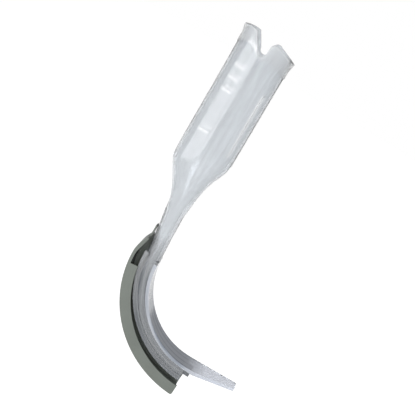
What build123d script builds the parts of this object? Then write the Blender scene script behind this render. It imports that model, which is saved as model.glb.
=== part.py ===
from build123d import *
import os
from math import atan, cos, degrees, radians, sin, tan

# Single-use clear blade for a video laryngoscope: a hollow grip sleeve that runs through a
# slim stem into a quarter-circle blade, with a grey introducer guide on the blade's back.
# Millimetres. The origin is the centre of the sleeve's mouth, +Z runs out of the mouth along
# the grip, +X is the concave side where the tongue lies, and the two shells meet at Y = 0.

# ---- grip sleeve ----
sleeve_depth = 32.7        # rear edge to front edge, along X
sleeve_width = 25.0        # side to side, along Y
sleeve_fullness = 0.60     # how square the sleeve's section is
sleeve_top = 6.0           # raw height of the sleeve before the rim is cut
sleeve_foot = -66.0        # where the front edge starts to round in
ridge_angle = 9.0          # the soft ridge down the middle of each side, degrees off flat
wall = 1.5                 # moulded wall of the sleeve and the stem

# ---- shoulder, neck and stem: height, rear edge, front edge, side-to-side width ----
shoulder = [
    (sleeve_foot, -sleeve_depth / 2, sleeve_depth / 2, sleeve_width),
    (-73.5, -16.3, 15.7, 24.6),
    (-80.0, -16.0, 13.2, 23.4),
]
neck = [
    shoulder[-1],
    (-83.9, -14.1, 11.6, 22.1),
    (-94.6, -8.4, 9.1, 18.3),
    (-109.2, -4.3, 7.5, 15.3),
]
stem = [
    neck[-1],
    (-123.7, -2.1, 7.9, 14.4),
    (-134.4, -0.9, 8.5, 14.4),
    (-138.3, -0.6, 8.8, 14.4),
]
neck_fullness_gain = 0.22  # how much squarer the section grows down to the blade
ridge_end = -103.0         # height where the side ridge has faded out

# ---- blade: a quarter circle about an axis along Y ----
arc_x = 53.0               # centre of the quarter circle
arc_z = stem[-1][0]
blade_angle = 90.0
spatula_inner = 44.2       # radius of the concave face that lifts the tongue
spatula_thick = 2.0
spatula_start = 2.0        # degrees past the end of the stem
body_outer = 52.7          # radius of the blade's back
body_width = 14.4
body_wall = 1.3

# ---- two rails along the back's edges, struck from a centre of their own ----
rail_centre_x = 55.6
rail_centre_z = -135.6
rail_outer = 57.1
rail_deep = 2.9
rail_inner_y = 6.1
rail_outer_y = 7.7

# ---- spatula outline seen square-on, and the beak past the arc ----
spatula_half_stem = 7.7    # half width where it leaves the stem
spatula_half_root = 10.0   # half width at the root of the beak
widen_start = 12.0         # X where the spatula starts to widen
widen_end = 52.0           # X where it has its full width
beak_root = 58.0
beak_tip = 83.5            # X of the square end
beak_rise = 2.3            # the beak turns up towards its tip
beak_half_tip = 5.0
beak_root_thick = 2.3
beak_end_thick = 1.8
beak_corner = 1.6

# ---- camera window at the far end of the bore ----
window_z = -187.7
bezel_outer = 2.8          # radius
bezel_inner = 2.2
bezel_stand = 4.0          # how far the bezel stands out of the end wall
end_wall = 1.6
window_thick = 1.2
window_recess = 0.4        # how far the window lies back from the bezel's rim

# ---- mouth: rim, notch and collar, as X and Z seen from the side ----
rim_rear = (-18.0, 3.4)    # rear corner of the rim
rim_crest = (-14.0, 4.1)
rim_tip = (-8.7, 3.7)      # where the rear lobe turns down to the notch
notch_rear = (-3.8, -4.6)
notch_bottom = (-1.2, -7.5)
notch_front = (1.7, -5.2)
lobe_rise = (2.2, 0.3)     # where the front lobe starts to round over
lobe_crest = (3.8, 1.5)
lobe_fall = (6.6, 1.0)
rim_front = (17.9, -3.2)   # front corner of the rim
collar_rear = (-16.0, -7.1)
collar_arch = (-11.5, -4.7)
collar_dip_start = (-6.0, -5.6)
collar_dip = (-1.1, -9.1)
collar_dip_end = (4.7, -8.6)
collar_front = (16.5, -12.4)
collar_low = -16.0         # the collar's blank starts here, below its cut edge
collar_gain = 0.4          # how far the collar stands off the sleeve
lip_low = -5.5             # the lip flares out from here, below the rim's slope
lip_high = 3.0
lip_flare = 11.0           # degrees

# ---- introducer guide ----
guide_x = 55.9             # centre of its arc: the channel deepens towards the tip
guide_z = -138.6
guide_outer = 63.3         # radius of its back
guide_back_wall = 1.8
guide_side_wall = 1.4
guide_half = 9.5           # half width over its side walls
guide_lip = 56.8           # radius of the near wall's free edge
guide_far_lip = 55.0       # the far wall reaches past the rail beside it
guide_near_start = 7.0     # degrees where the near wall begins
guide_end = 88.0           # degrees where the guide ends
hood_top = (-3.7, -128.0)  # where the hood meets the tang
hood_bulge = (-6.3, -132.9)
hood_hollow = (-4.3, -133.6)
tang_top = -120.8
tang_thick = 0.9
tang_half = 3.5
guide_corner = 1.2         # rounding of the outer corner at its end
seam = 0.3                 # how far joined parts of one moulding run into each other

# ---- ribs inside the sleeve that steady the camera baton ----
rib_heights = [-18.2, -25.6, -33.2, -58.6]
rib_height = 1.0
rib_thick = 1.2
rib_length = 6.0
rib_x = -7.5
long_rib_x = 12.0
long_rib_top = -26.5
long_rib_foot = -65.0

FAR = 200.0                # longer than the object, for cutters
BEYOND = 24.0              # past the rim's corners in X, where the cutters' outlines turn up
FALL = 3.0                 # how far those outlines drop past the corners
rim_slope = atan((rim_rear[1] - rim_front[1]) / (rim_front[0] - rim_rear[0]))


def on_cubic(start, lead, follow, end, share):
    """Point on a cubic curve at a share of its run."""
    rest = 1 - share
    weights = (rest ** 3, 3 * rest * rest * share, 3 * rest * share * share, share ** 3)
    corners = (start, lead, follow, end)
    x = sum(weight * corner[0] for weight, corner in zip(weights, corners))
    y = sum(weight * corner[1] for weight, corner in zip(weights, corners))
    return (x, y)


def oval(rear, front, width, fullness, ridge):
    """Closed section in X and Y: two arcs to a quarter, with a soft ridge on each side."""
    mid = (rear + front) / 2
    half = width / 2
    lean = tan(radians(ridge))
    arcs = []
    for end, side in ((rear, -1), (front, -1), (front, 1), (rear, 1)):
        reach = (mid - end) * fullness
        corners = (
            (end, 0),
            (end, side * half * fullness),
            (mid - reach, side * (half - abs(reach) * lean)),
            (mid, side * half),
        )
        points = [on_cubic(*corners, share) for share in (0, 0.25, 0.5, 0.75, 1)]
        arcs.append(ThreePointArc(*points[:3]))
        arcs.append(ThreePointArc(*points[2:]))
    return make_face(Curve() + arcs)


def sections(stations, inset):
    """Ovals at the stations, each drawn in: squarer, and less ridged, further down."""
    ovals = []
    for height, rear, front, width in stations:
        run = (sleeve_foot - height) / (sleeve_foot - arc_z)
        ridge_run = (sleeve_foot - height) / (sleeve_foot - ridge_end)
        section = oval(
            rear + inset, front - inset, width - 2 * inset,
            sleeve_fullness + neck_fullness_gain * run, ridge_angle * max(0, 1 - ridge_run),
        )
        ovals.append(Pos(0, 0, height) * section)
    return ovals


def sleeve(inset, top, foot):
    """The straight part of the grip, drawn in by the inset."""
    half_depth = sleeve_depth / 2 - inset
    section = oval(
        -half_depth, half_depth, sleeve_width - 2 * inset, sleeve_fullness, ridge_angle
    )
    return Pos(0, 0, foot) * extrude(section, top - foot)


def on_arc(centre_x, centre_z, radius, angle):
    """Point at a radius from an arc's centre, at degrees past the end of the stem."""
    turn = radians(angle)
    return (centre_x - radius * cos(turn), centre_z - radius * sin(turn))


def arc_band(centre_x, centre_z, inner, outer, low_y, high_y, start, end):
    """A curved strip between two radii, two Y values and two angles about an axis along Y."""
    inner_start = on_arc(centre_x, centre_z, inner, start)
    inner_mid = on_arc(centre_x, centre_z, inner, (start + end) / 2)
    inner_end = on_arc(centre_x, centre_z, inner, end)
    outer_start = on_arc(centre_x, centre_z, outer, start)
    outer_mid = on_arc(centre_x, centre_z, outer, (start + end) / 2)
    outer_end = on_arc(centre_x, centre_z, outer, end)
    side = make_face(Curve() + [
        ThreePointArc(inner_start, inner_mid, inner_end),
        Line(inner_end, outer_end),
        ThreePointArc(outer_end, outer_mid, outer_start),
        Line(outer_start, inner_start),
    ])
    return Pos(0, high_y, 0) * extrude(Plane.XZ * side, amount=high_y - low_y)


def blade_band(inner, outer, low_y, high_y, start, end):
    return arc_band(arc_x, arc_z, inner, outer, low_y, high_y, start, end)


def guide_band(inner, outer, low_y, high_y, start, end):
    return arc_band(guide_x, guide_z, inner, outer, low_y, high_y, start, end)


def side_cut(outline):
    """A side view drawn in X and Z, made into a cutter that runs right through in Y."""
    return extrude(Plane.XZ * outline, amount=FAR / 4, both=True)


def mouth_line():
    """Everything above the rim as seen from the side: two lobes with the notch between."""
    fall = (rim_front[1] - lobe_fall[1]) / (rim_front[0] - lobe_fall[0])
    past_front = (BEYOND, rim_front[1] + fall * (BEYOND - rim_front[0]))
    past_rear = (-BEYOND, rim_rear[1] - FALL)
    return make_face(Curve() + [
        Line(past_rear, rim_rear),
        ThreePointArc(rim_rear, rim_crest, rim_tip),
        Line(rim_tip, notch_rear),
        ThreePointArc(notch_rear, notch_bottom, notch_front),
        Line(notch_front, lobe_rise),
        ThreePointArc(lobe_rise, lobe_crest, lobe_fall),
        Line(lobe_fall, past_front),
        Polyline(past_front, (BEYOND, FAR), (-BEYOND, FAR), past_rear),
    ])


def collar_line():
    """Everything above the collar's lower edge: an arch at the rear and a dip at the notch."""
    past_rear = (-BEYOND, collar_rear[1] - FALL)
    past_front = (BEYOND, collar_front[1] - FALL)
    return make_face(Curve() + [
        Line(past_rear, collar_rear),
        ThreePointArc(collar_rear, collar_arch, collar_dip_start),
        ThreePointArc(collar_dip_start, collar_dip, collar_dip_end),
        Line(collar_dip_end, collar_front),
        Line(collar_front, past_front),
        Polyline(past_front, (BEYOND, FAR), (-BEYOND, FAR), past_rear),
    ])


def lip_section(height):
    """The flared lip's outline, square to the rim's slope, at a height over it."""
    gain = collar_gain - seam / 2 + (height - lip_low) * tan(radians(lip_flare))
    half = (sleeve_depth / 2 + gain) / cos(rim_slope)
    section = oval(-half, half, sleeve_width + 2 * gain, sleeve_fullness, ridge_angle)
    return Rot(0, degrees(rim_slope), 0) * Pos(-height * tan(rim_slope), 0, height) * section


# ---- clear shells ----
clear_body = sleeve(0, sleeve_top, sleeve_foot)
clear_body += loft(sections(shoulder, 0)) + loft(sections(neck, 0))
clear_body += loft(sections(stem, 0), ruled=True)
bore = sleeve(wall, sleeve_top, sleeve_foot)
for stations in (shoulder, neck, stem):
    bore += loft(sections(stations, wall), ruled=True)

body_top = spatula_inner + spatula_thick
body_half = body_width / 2
bore_half = body_half - body_wall
end_angle = blade_angle - degrees(end_wall / body_outer)

clear_body += blade_band(spatula_inner, body_outer, -body_half, body_half, 0, spatula_start)
clear_body += blade_band(body_top, body_outer, -body_half, body_half, 0, blade_angle)
for low_y in (-rail_outer_y, rail_inner_y):
    high_y = low_y + rail_outer_y - rail_inner_y
    clear_body += arc_band(
        rail_centre_x, rail_centre_z, rail_outer - rail_deep, rail_outer, low_y, high_y, 0, 90,
    )
clear_body &= Pos(arc_x - FAR / 2, 0, 0) * Box(FAR, FAR, 3 * FAR)
clear_body -= bore
clear_body -= blade_band(
    spatula_inner + wall, body_outer - body_wall, -bore_half, bore_half, -seam, spatula_start
)
clear_body -= blade_band(
    body_top - seam, body_outer - body_wall, -bore_half, bore_half, spatula_start, end_angle
)

# Ribs on the inside walls steady the baton: cross ribs behind, one long rib in front.
rib_band = sleeve(wall - seam, 0, sleeve_foot) - sleeve(wall + rib_height, 0, sleeve_foot)
ribs = []
for height in rib_heights:
    ribs.append(Pos(rib_x, 0, height) * Box(rib_length, FAR, rib_thick))
long_rib = long_rib_top - long_rib_foot
ribs.append(Pos(long_rib_x, 0, long_rib_foot + long_rib / 2) * Box(rib_thick, FAR, long_rib))
for rib in ribs:
    clear_body += rib_band & rib

clear_body -= side_cut(mouth_line())

window_face = Plane(origin=(arc_x, 0, window_z), x_dir=(0, 1, 0), z_dir=(1, 0, 0))
clear_body -= window_face * extrude(Circle(bezel_outer), 2 * end_wall, both=True)

half_space = Box(2 * FAR, FAR, 3 * FAR)
right_shell = clear_body & Pos(0, -FAR / 2, 0) * half_space
left_shell = clear_body & Pos(0, FAR / 2, 0) * half_space

# ---- mouth collar: a band round the sleeve, and a lip that flares out along the rim ----
band_half = sleeve_depth / 2 + collar_gain
band_section = oval(
    -band_half, band_half, sleeve_width + 2 * collar_gain, sleeve_fullness, ridge_angle
)
mouth_collar = Pos(0, 0, collar_low) * extrude(band_section, sleeve_top - collar_low)
mouth_collar += loft([lip_section(lip_low), lip_section(lip_high)])
mouth_collar -= sleeve(0, sleeve_top, collar_low)
mouth_collar &= side_cut(collar_line())
mouth_collar -= side_cut(mouth_line())

# ---- spatula ----
face_z = arc_z - spatula_inner
under_z = face_z - spatula_thick
tip_z = face_z + beak_rise
beak_side = make_face(Polyline(
    (arc_x, face_z), (beak_root, face_z), (beak_tip, tip_z), (beak_tip, tip_z - beak_end_thick),
    (beak_root, face_z - beak_root_thick), (arc_x, under_z), close=True,
))
spatula = blade_band(spatula_inner, body_top, -FAR / 4, FAR / 4, spatula_start, blade_angle)
spatula += side_cut(beak_side)
outline = make_face(Polyline(
    (0, -spatula_half_stem), (widen_start, -spatula_half_stem), (widen_end, -spatula_half_root),
    (beak_root, -spatula_half_root), (beak_tip, -beak_half_tip), (beak_tip, beak_half_tip),
    (beak_root, spatula_half_root), (widen_end, spatula_half_root),
    (widen_start, spatula_half_stem), (0, spatula_half_stem), close=True,
))
outline = fillet(outline.vertices().sort_by(Axis.X)[-2:], beak_corner)
spatula &= extrude(outline, FAR, both=True)

# ---- camera window and its bezel ----
bezel_length = end_wall + bezel_stand
bezel_tube = extrude(Circle(bezel_outer), bezel_length) - extrude(Circle(bezel_inner), bezel_length)
window_bezel = window_face * Pos(0, 0, -end_wall) * bezel_tube
camera_window = window_face * Pos(0, 0, bezel_stand - window_thick - window_recess) * extrude(
    Circle(bezel_inner), window_thick
)

# ---- introducer guide ----
guide_inner = guide_outer - guide_back_wall
guide_inside = guide_half - guide_side_wall
introducer_guide = guide_band(guide_inner, guide_outer, -guide_half, guide_half, 0, guide_end)
introducer_guide += guide_band(
    guide_lip, guide_inner + seam, -guide_half, -guide_inside, guide_near_start, guide_end
)
introducer_guide += guide_band(
    guide_far_lip, guide_inner + seam, guide_inside, guide_half, 0, guide_end
)

hood_foot = on_arc(guide_x, guide_z, guide_outer, 0)
hood_foot_in = on_arc(guide_x, guide_z, guide_inner, 0)
hood_under = (hood_top[0] + tang_thick, hood_top[1])
hood_side = make_face(Curve() + [
    ThreePointArc(hood_foot, hood_bulge, hood_top),
    Line(hood_top, hood_under),
    ThreePointArc(hood_under, hood_hollow, hood_foot_in),
    Line(hood_foot_in, hood_foot),
])
introducer_guide += extrude(Plane.XZ * hood_side, amount=guide_half, both=True)
far_lip = on_arc(guide_x, guide_z, guide_far_lip, 0)
cheek_side = make_face(Curve() + [
    ThreePointArc(hood_foot, hood_bulge, hood_top),
    Line(hood_top, hood_under),
    Line(hood_under, far_lip),
    Line(far_lip, hood_foot),
])
introducer_guide += Pos(0, guide_half, 0) * extrude(Plane.XZ * cheek_side, amount=guide_side_wall)
tang_side = make_face(Polyline(
    hood_top, (hood_top[0], tang_top), (hood_under[0], tang_top), hood_under, close=True,
))
introducer_guide += extrude(Plane.XZ * tang_side, amount=tang_half, both=True)
end_edges = introducer_guide.edges().filter_by(Axis.Y)
introducer_guide = fillet(end_edges.sort_by(Axis.Z)[0], guide_corner)

named = {
    "right_shell": right_shell,
    "left_shell": left_shell,
    "mouth_collar": mouth_collar,
    "spatula": spatula,
    "window_bezel": window_bezel,
    "camera_window": camera_window,
    "introducer_guide": introducer_guide,
}
os.makedirs("parts", exist_ok=True)
for name, shape in named.items():
    export_step(shape, f"parts/{name}.step")
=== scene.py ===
from math import cos, radians, sin

import bmesh
import bpy
from mathutils import Matrix, Vector


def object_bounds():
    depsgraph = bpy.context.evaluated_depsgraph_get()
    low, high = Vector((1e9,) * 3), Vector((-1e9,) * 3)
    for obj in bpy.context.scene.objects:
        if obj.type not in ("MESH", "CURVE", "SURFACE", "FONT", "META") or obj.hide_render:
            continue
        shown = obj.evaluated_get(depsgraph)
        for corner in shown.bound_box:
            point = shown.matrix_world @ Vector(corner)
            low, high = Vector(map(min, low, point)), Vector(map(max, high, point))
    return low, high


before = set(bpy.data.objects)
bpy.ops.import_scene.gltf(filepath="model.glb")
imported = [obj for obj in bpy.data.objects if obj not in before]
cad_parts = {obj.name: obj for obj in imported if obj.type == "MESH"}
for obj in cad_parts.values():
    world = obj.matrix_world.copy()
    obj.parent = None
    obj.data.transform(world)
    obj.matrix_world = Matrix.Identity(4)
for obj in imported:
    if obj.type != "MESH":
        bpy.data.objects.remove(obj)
cad_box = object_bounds()

# Centre of the blade's curve, along X and Z.
ARC_X = 0.053
ARC_Z = -0.1383

# Painted highlights where the ribs inside the sleeve meet its wall, standing in for the light
# they catch through it: low and high X, low and high Z.
RIB_HALF = 0.0006
RIB_HIGHLIGHTS = [
    ((-0.0105, -0.0045), (height - RIB_HALF, height + RIB_HALF))
    for height in (-0.0182, -0.0256, -0.0332, -0.0586)
]
RIB_HIGHLIGHTS.append(((0.012 - RIB_HALF, 0.012 + RIB_HALF), (-0.065, -0.0265)))

# Shares along a clear piece's colour ramp: its far end, where the painted shade is darkest, its
# near end, and its main tint.
FAR_SHARE = 0.25
NEAR_SHARE = 0.85
TINT_SHARE = 0.9
# The rib marks are painted highlights.
RIB_HIGHLIGHT_SHARE = 0.15           # how much paler a rib mark is
FAR_STREAKS = 0.6          # how strongly the streaks show at the far end
NEAR_STREAKS = 0.12

bl_info = {
    "name": "Video Laryngoscope Blade",
    "version": (1, 0, 0),
    "blender": (4, 5, 0),
    "location": "3D View > Sidebar > Laryngoscope",
    "description": "Finishes a clear single-use video laryngoscope blade and sets up its studio",
    "category": "Object",
}


# ---------------------------------------------------------------- settings

class BladeSettings(bpy.types.PropertyGroup):
    """Colours and finishes of the blade's pieces."""

    clear_tint: bpy.props.FloatVectorProperty(
        name="Clear Tint", description="Main tint of the clear grip and stem",
        subtype="COLOR", size=4, default=(0.79, 0.81, 0.83, 1.0), min=0.0, max=1.0,
    )
    # Painted shade that greys the curved blade's walls; this is its darkest colour, in the
    # streaks.
    blade_painted_shade: bpy.props.FloatVectorProperty(
        name="Blade Tint", description="Darkest tint in the streaks of the curved blade's walls",
        subtype="COLOR", size=4, default=(0.04, 0.055, 0.075, 1.0), min=0.0, max=1.0,
    )
    # Painted shade that greys the curved spatula away from the beak; this is its darkest colour,
    # in the streaks.
    spatula_painted_shade: bpy.props.FloatVectorProperty(
        name="Spatula Tint", description="Darkest tint in the streaks of the curved spatula",
        subtype="COLOR", size=4, default=(0.13, 0.15, 0.18, 1.0), min=0.0, max=1.0,
    )
    beak_tint: bpy.props.FloatVectorProperty(
        name="Beak Tint", description="Main tint of the flat beak",
        subtype="COLOR", size=4, default=(0.82, 0.84, 0.90, 1.0), min=0.0, max=1.0,
    )
    collar_tint: bpy.props.FloatVectorProperty(
        name="Collar Tint", description="Main tint of the collar at the mouth",
        subtype="COLOR", size=4, default=(0.97, 0.975, 0.98, 1.0), min=0.0, max=1.0,
    )
    clear_ior: bpy.props.FloatProperty(
        name="Clear IOR", description="Refraction of the clear plastic", default=1.49,
        min=1.0, max=2.0,
    )
    guide_colour: bpy.props.FloatVectorProperty(
        name="Guide Colour", description="Warm grey of the introducer guide",
        subtype="COLOR", size=4, default=(0.094, 0.106, 0.093, 1.0), min=0.0, max=1.0,
    )


class StudioSettings(bpy.types.PropertyGroup):
    """The camera, the floor and the soft lights."""

    lean: bpy.props.FloatProperty(
        name="Lean", description="How far the grip leans to the right in the picture",
        subtype="ANGLE", default=radians(30.13),
    )
    turn: bpy.props.FloatProperty(
        name="Turn", description="How far round towards the beak the camera stands",
        subtype="ANGLE", default=radians(7.5),
    )
    rise: bpy.props.FloatProperty(
        name="Rise", description="How far above the middle of the object the camera stands",
        subtype="ANGLE", default=radians(10.0),
    )
    distance: bpy.props.FloatProperty(
        name="Distance", description="Camera to the middle of the object",
        subtype="DISTANCE", default=0.62,
    )
    aim: bpy.props.FloatVectorProperty(
        name="Aim", description="Point in the middle of the picture",
        subtype="XYZ", size=3, default=(0.01635, 0.0, -0.0971),
    )
    lens: bpy.props.FloatProperty(
        name="Lens", description="Focal length in millimetres", default=94.4, min=1.0,
    )
    floor_drop: bpy.props.FloatProperty(
        name="Floor Drop", description="Floor below the object's lowest point",
        subtype="DISTANCE", default=0.06,
    )
    sky: bpy.props.FloatProperty(
        name="Sky", description="Strength of the white seen behind and through the blade",
        default=1.0, min=0.0,
    )
    surround: bpy.props.FloatProperty(
        name="Surround", description="Strength of the grey room that the blade reflects",
        default=0.32, min=0.0,
    )
    ambient: bpy.props.FloatProperty(
        name="Ambient", description="Share of the sky's white that lights matt surfaces",
        default=0.4, min=0.0, max=1.0,
    )


# ---------------------------------------------------------------- materials

def new_material(name):
    """An empty node material with a Principled shader, and its nodes and links."""
    material = bpy.data.materials.new(name)
    material.use_nodes = True
    tree = material.node_tree
    shader = tree.nodes["Principled BSDF"]
    return material, tree, shader


def add_noise(tree, scale, detail=2.0, roughness=0.5, stretch=(1.0, 1.0, 1.0)):
    """Noise in Object coordinates, stretched along the axes."""
    coords = tree.nodes.new("ShaderNodeTexCoord")
    mapping = tree.nodes.new("ShaderNodeMapping")
    noise = tree.nodes.new("ShaderNodeTexNoise")
    mapping.inputs["Scale"].default_value = stretch
    noise.inputs["Scale"].default_value = scale
    noise.inputs["Detail"].default_value = detail
    noise.inputs["Roughness"].default_value = roughness
    tree.links.new(coords.outputs["Object"], mapping.inputs["Vector"])
    tree.links.new(mapping.outputs["Vector"], noise.inputs["Vector"])
    return noise


def ranged(tree, source, low, high, start=0.3, stop=0.7):
    """Spread a 0 to 1 value between two others."""
    spread = tree.nodes.new("ShaderNodeMapRange")
    spread.inputs["From Min"].default_value = start
    spread.inputs["From Max"].default_value = stop
    spread.inputs["To Min"].default_value = low
    spread.inputs["To Max"].default_value = high
    tree.links.new(source, spread.inputs["Value"])
    return spread.outputs["Result"]


def bumped(tree, shader, height, strength, distance):
    """Raise and sink the surface's shading by a height."""
    bump = tree.nodes.new("ShaderNodeBump")
    bump.inputs["Strength"].default_value = strength
    bump.inputs["Distance"].default_value = distance
    tree.links.new(height, bump.inputs["Height"])
    tree.links.new(bump.outputs["Normal"], shader.inputs["Normal"])


def add_flow(tree, scale, detail=3.0):
    """Streaks that run down the grip, round the blade and out along the beak."""
    coords = tree.nodes.new("ShaderNodeTexCoord")
    apart = tree.nodes.new("ShaderNodeSeparateXYZ")

    # Distance from the curve's centre, in the quarter that the blade fills, and from the
    # lines that carry on from it along the grip and along the beak.
    shift = tree.nodes.new("ShaderNodeMapping")
    shift.inputs["Location"].default_value = (-ARC_X, 0.0, -ARC_Z)
    inside = tree.nodes.new("ShaderNodeVectorMath")
    inside.operation = "MINIMUM"
    flatten = tree.nodes.new("ShaderNodeVectorMath")
    flatten.operation = "MULTIPLY"
    flatten.inputs[1].default_value = (1.0, 0.0, 1.0)
    radius = tree.nodes.new("ShaderNodeVectorMath")
    radius.operation = "LENGTH"

    along = tree.nodes.new("ShaderNodeMath")
    along.operation = "MULTIPLY"
    along.inputs[1].default_value = 0.04
    joined = tree.nodes.new("ShaderNodeCombineXYZ")
    noise = tree.nodes.new("ShaderNodeTexNoise")
    noise.inputs["Scale"].default_value = scale
    noise.inputs["Detail"].default_value = detail
    tree.links.new(coords.outputs["Object"], shift.inputs["Vector"])
    tree.links.new(shift.outputs["Vector"], inside.inputs[0])
    tree.links.new(inside.outputs["Vector"], flatten.inputs[0])
    tree.links.new(flatten.outputs["Vector"], radius.inputs[0])
    tree.links.new(coords.outputs["Object"], apart.inputs["Vector"])
    tree.links.new(apart.outputs["Z"], along.inputs[0])
    tree.links.new(radius.outputs["Value"], joined.inputs["X"])
    tree.links.new(apart.outputs["Y"], joined.inputs["Y"])
    tree.links.new(along.outputs["Value"], joined.inputs["Z"])
    tree.links.new(joined.outputs["Vector"], noise.inputs["Vector"])
    return noise


def band(tree, value, low, high, soft=0.0006):
    """1 between two values, falling softly to 0 outside them."""
    half = (high - low) / 2.0
    offset = tree.nodes.new("ShaderNodeMath")
    offset.operation = "SUBTRACT"
    offset.inputs[1].default_value = (low + high) / 2.0
    distance = tree.nodes.new("ShaderNodeMath")
    distance.operation = "ABSOLUTE"
    tree.links.new(value, offset.inputs[0])
    tree.links.new(offset.outputs["Value"], distance.inputs[0])
    return ranged(tree, distance.outputs["Value"], 1.0, 0.0, half, half + soft)


def add_rib_highlights(tree, axes):
    """Painted highlights where the ribs inside the sleeve meet its wall."""
    marks = None
    for (low_x, high_x), (low_z, high_z) in RIB_HIGHLIGHTS:
        across = band(tree, axes.outputs["X"], low_x, high_x)
        mark = tree.nodes.new("ShaderNodeMath")
        mark.operation = "MULTIPLY_ADD"
        tree.links.new(across, mark.inputs[0])
        tree.links.new(band(tree, axes.outputs["Z"], low_z, high_z), mark.inputs[1])
        mark.inputs[2].default_value = 0.0
        if marks:
            tree.links.new(marks, mark.inputs[2])
        marks = mark.outputs["Value"]
    return marks


def clear_plastic(
    name, tint, painted_shade_colour, ior, haze=0.08, axis="Z", fade=(-0.125, -0.150), milk=(0.05, 0.5)
):
    """Clear plastic with painted shade that turns it greyer and milkier along an axis, with
    streaks and painted rib highlights.
    """
    material, tree, shader = new_material(name)
    shader.inputs["IOR"].default_value = ior
    depth = tree.nodes.new("ShaderNodeVolumeAbsorption")
    depth.inputs["Color"].default_value = (0.50, 0.56, 0.62, 1.0)
    depth.inputs["Density"].default_value = 60.0
    tree.links.new(depth.outputs["Volume"], tree.nodes["Material Output"].inputs["Volume"])

    coords = tree.nodes.new("ShaderNodeTexCoord")
    axes = tree.nodes.new("ShaderNodeSeparateXYZ")
    tree.links.new(coords.outputs["Object"], axes.inputs["Vector"])
    # Painted shade: the colour darkens from the near end of the fade to its far end along the
    # axis.
    near = ranged(tree, axes.outputs[axis], FAR_SHARE, NEAR_SHARE, fade[1], fade[0])
    contrast = ranged(tree, near, FAR_STREAKS, NEAR_STREAKS, FAR_SHARE, NEAR_SHARE)
    streaks = add_flow(tree, 600.0)
    shade_and_streaks = tree.nodes.new("ShaderNodeMath")
    shade_and_streaks.operation = "MULTIPLY_ADD"
    tree.links.new(ranged(tree, streaks.outputs["Fac"], -0.5, 0.5), shade_and_streaks.inputs[0])
    tree.links.new(contrast, shade_and_streaks.inputs[1])
    tree.links.new(near, shade_and_streaks.inputs[2])
    shade_streaks_and_highlights = tree.nodes.new("ShaderNodeMath")
    shade_streaks_and_highlights.operation = "MULTIPLY_ADD"
    shade_streaks_and_highlights.inputs[1].default_value = RIB_HIGHLIGHT_SHARE
    tree.links.new(add_rib_highlights(tree, axes), shade_streaks_and_highlights.inputs[0])
    tree.links.new(shade_and_streaks.outputs["Value"], shade_streaks_and_highlights.inputs[2])
    ramp = tree.nodes.new("ShaderNodeValToRGB")
    ramp.color_ramp.elements[0].color = painted_shade_colour
    ramp.color_ramp.elements[1].color = (1.0, 1.0, 1.0, 1.0)
    ramp.color_ramp.elements.new(TINT_SHARE).color = tint
    tree.links.new(shade_streaks_and_highlights.outputs["Value"], ramp.inputs["Fac"])
    tree.links.new(ramp.outputs["Color"], shader.inputs["Base Color"])
    # The painted shade also makes the far end milkier.
    near_milk, far_milk = milk
    clarity = ranged(tree, shade_and_streaks.outputs["Value"], 1.0 - far_milk, 1.0 - near_milk, 0.0, 1.0)
    tree.links.new(clarity, shader.inputs["Transmission Weight"])

    gloss = add_noise(tree, 60.0, 3.0)
    rough = ranged(tree, gloss.outputs["Fac"], haze, haze + 0.08)
    tree.links.new(rough, shader.inputs["Roughness"])
    bumped(tree, shader, streaks.outputs["Fac"], 0.15, 0.0003)
    return material


def guide_plastic(name, colour):
    """Opaque satin plastic with a fine moulded grain."""
    material, tree, shader = new_material(name)
    cloud = add_noise(tree, 90.0, 4.0)
    ramp = tree.nodes.new("ShaderNodeValToRGB")
    ramp.color_ramp.elements[0].position = 0.3
    ramp.color_ramp.elements[1].position = 0.7
    ramp.color_ramp.elements[0].color = [0.92 * channel for channel in colour[:3]] + [1.0]
    ramp.color_ramp.elements[1].color = [1.06 * channel for channel in colour[:3]] + [1.0]
    tree.links.new(cloud.outputs["Fac"], ramp.inputs["Fac"])
    tree.links.new(ramp.outputs["Color"], shader.inputs["Base Color"])
    tree.links.new(ranged(tree, cloud.outputs["Fac"], 0.38, 0.52), shader.inputs["Roughness"])
    grain = add_noise(tree, 2500.0, 2.0)
    bumped(tree, shader, grain.outputs["Fac"], 0.2, 0.0001)
    return material


def finish_node(node, material):
    """Give a CAD piece its material, and shade its curved faces as one surface."""
    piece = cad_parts[node]
    weld = piece.modifiers.new("weld", "WELD")
    weld.merge_threshold = 1e-6
    crease = piece.modifiers.new("crease", "EDGE_SPLIT")
    crease.split_angle = radians(30.0)
    piece.data.shade_smooth()
    piece.data.materials.clear()
    piece.data.materials.append(material)


# ---------------------------------------------------------------- operators

class BLADE_OT_clear_pieces(bpy.types.Operator):
    """Finish the clear shells, collar, spatula and bezel"""

    bl_idname = "blade.clear_pieces"
    bl_label = "Clear Pieces"

    def execute(self, context):
        settings = context.scene.blade_settings
        ior = settings.clear_ior
        # The shells grey towards the curved blade with painted shade.
        shells = clear_plastic("clear_moulding", settings.clear_tint, settings.blade_painted_shade, ior)
        for node in ("right_shell", "left_shell", "window_bezel"):
            finish_node(node, shells)
        # The spatula greys away from the beak with painted shade.
        blade = clear_plastic(
            "clear_spatula", settings.beak_tint, settings.spatula_painted_shade, ior,
            axis="X", fade=(0.064, 0.050), milk=(0.15, 0.95),
        )
        finish_node("spatula", blade)
        # The collar greys downwards from its near-white tint to the clear tint with painted
        # shade.
        collar = clear_plastic(
            "clear_collar", settings.collar_tint, settings.clear_tint, ior,
            fade=(-0.005, -0.02), milk=(0.1, 0.1),
        )
        finish_node("mouth_collar", collar)
        return {"FINISHED"}


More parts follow.
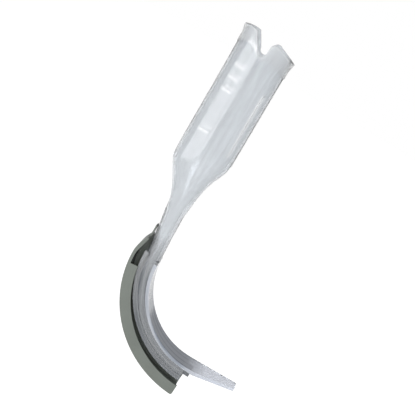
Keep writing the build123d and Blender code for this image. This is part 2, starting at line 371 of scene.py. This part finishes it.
class BLADE_OT_window(bpy.types.Operator):
    """Finish the camera window"""

    bl_idname = "blade.window"
    bl_label = "Camera Window"

    def execute(self, context):
        material = clear_plastic(
            "window_disc", (0.97, 0.98, 0.99, 1.0), (0.94, 0.96, 0.98, 1.0), 1.49, haze=0.0,
            fade=(-0.186, -0.189), milk=(0.0, 0.0),
        )
        finish_node("camera_window", material)
        return {"FINISHED"}


class BLADE_OT_guide(bpy.types.Operator):
    """Finish the introducer guide"""

    bl_idname = "blade.guide"
    bl_label = "Introducer Guide"

    def execute(self, context):
        settings = context.scene.blade_settings
        finish_node("introducer_guide", guide_plastic("grey_guide", settings.guide_colour))
        return {"FINISHED"}


class BLADE_OT_studio(bpy.types.Operator):
    """Set up the camera, the pale floor and the soft lights"""

    bl_idname = "blade.studio"
    bl_label = "Studio"

    def execute(self, context):
        studio = context.scene.blade_studio
        add_camera(context.scene, studio)
        add_floor(studio)
        add_sky(context.scene, studio)
        add_soft_light("key_light", (-0.48, -0.55, -0.16), (0.0, 0.0, -0.06), 0.55, 3.0)
        add_soft_light("fill_light", (0.06, -0.80, 0.10), (0.0, 0.0, -0.12), 0.30, 4.0)
        return {"FINISHED"}


def add_camera(scene, studio):
    """The camera, turned so that the grip leans over in its picture."""
    up_in_picture = Vector((-sin(studio.lean), 0.0, cos(studio.lean)))
    right_in_picture = Vector((cos(studio.lean), 0.0, sin(studio.lean)))
    away = Vector((0.0, 1.0, 0.0))
    level = cos(studio.rise)
    back = (
        right_in_picture * sin(studio.turn) * level
        - away * cos(studio.turn) * level
        + up_in_picture * sin(studio.rise)
    )
    side = up_in_picture.cross(back).normalized()
    top = back.cross(side)
    camera = bpy.data.objects.new("camera", bpy.data.cameras.new("camera"))
    camera.data.lens = studio.lens
    camera.data.sensor_width = 36.0
    camera.data.clip_start = 0.01
    place = Matrix((side, top, back)).transposed().to_4x4()
    place.translation = Vector(studio.aim) + back * studio.distance
    camera.matrix_world = place
    scene.collection.objects.link(camera)
    scene.camera = camera


def add_floor(studio):
    """A round pale floor, well below the object."""
    mesh = bmesh.new()
    bmesh.ops.create_circle(mesh, cap_ends=True, segments=96, radius=3.0)
    low = cad_box[0][2] - studio.floor_drop
    bmesh.ops.translate(mesh, verts=mesh.verts, vec=(0.0, 0.0, low))
    data = bpy.data.meshes.new("floor")
    mesh.to_mesh(data)
    mesh.free()
    floor = bpy.data.objects.new("floor", data)
    bpy.context.scene.collection.objects.link(floor)
    material, tree, shader = new_material("floor")
    shader.inputs["Base Color"].default_value = (0.9, 0.9, 0.9, 1.0)
    shader.inputs["Roughness"].default_value = 0.9
    shader.inputs["Emission Color"].default_value = (1.0, 1.0, 1.0, 1.0)
    shader.inputs["Emission Strength"].default_value = 0.5
    floor.data.materials.append(material)


def add_sky(scene, studio):
    """White behind and through the blade, dimmer in what it reflects."""
    world = bpy.data.worlds.new("studio")
    world.use_nodes = True
    tree = world.node_tree
    background = tree.nodes["Background"]
    background.inputs["Color"].default_value = (1.0, 1.0, 1.0, 1.0)
    rays = tree.nodes.new("ShaderNodeLightPath")
    ambient = tree.nodes.new("ShaderNodeMath")
    ambient.operation = "MULTIPLY_ADD"
    ambient.inputs[1].default_value = studio.ambient
    tree.links.new(rays.outputs["Is Diffuse Ray"], ambient.inputs[0])
    tree.links.new(rays.outputs["Is Camera Ray"], ambient.inputs[2])
    seen = tree.nodes.new("ShaderNodeMath")
    seen.operation = "MAXIMUM"
    tree.links.new(ambient.outputs["Value"], seen.inputs[0])
    tree.links.new(rays.outputs["Is Transmission Ray"], seen.inputs[1])
    strength = ranged(tree, seen.outputs["Value"], studio.surround, studio.sky, 0.0, 1.0)
    tree.links.new(strength, background.inputs["Strength"])
    scene.world = world
    scene.view_settings.view_transform = "Standard"


def add_soft_light(name, place, target, size, power):
    """A square soft box that faces the target."""
    data = bpy.data.lights.new(name, "AREA")
    data.shape = "SQUARE"
    data.size = size
    data.energy = power
    light = bpy.data.objects.new(name, data)
    light.location = place
    aim = Vector(target) - Vector(place)
    light.rotation_euler = aim.to_track_quat("-Z", "Y").to_euler()
    bpy.context.scene.collection.objects.link(light)


# ---------------------------------------------------------------- panel

class BLADE_PT_panel(bpy.types.Panel):
    """Lists the pieces and their settings"""

    bl_idname = "BLADE_PT_panel"
    bl_label = "Laryngoscope Blade"
    bl_space_type = "VIEW_3D"
    bl_region_type = "UI"
    bl_category = "Laryngoscope"

    def draw(self, context):
        layout = self.layout
        for group in (context.scene.blade_settings, context.scene.blade_studio):
            for name in group.__annotations__:
                layout.prop(group, name)
        for step in STEPS:
            layout.operator(step.bl_idname)


STEPS = (BLADE_OT_studio, BLADE_OT_clear_pieces, BLADE_OT_window, BLADE_OT_guide)
CLASSES = (BladeSettings, StudioSettings) + STEPS + (BLADE_PT_panel,)


def register():
    for item in CLASSES:
        bpy.utils.register_class(item)
    bpy.types.Scene.blade_settings = bpy.props.PointerProperty(type=BladeSettings)
    bpy.types.Scene.blade_studio = bpy.props.PointerProperty(type=StudioSettings)


def unregister():
    del bpy.types.Scene.blade_studio
    del bpy.types.Scene.blade_settings
    for item in reversed(CLASSES):
        bpy.utils.unregister_class(item)


def main():
    register()
    bpy.ops.blade.studio()
    bpy.ops.blade.clear_pieces()
    bpy.ops.blade.window()
    bpy.ops.blade.guide()


if __name__ == "__main__":
    main()
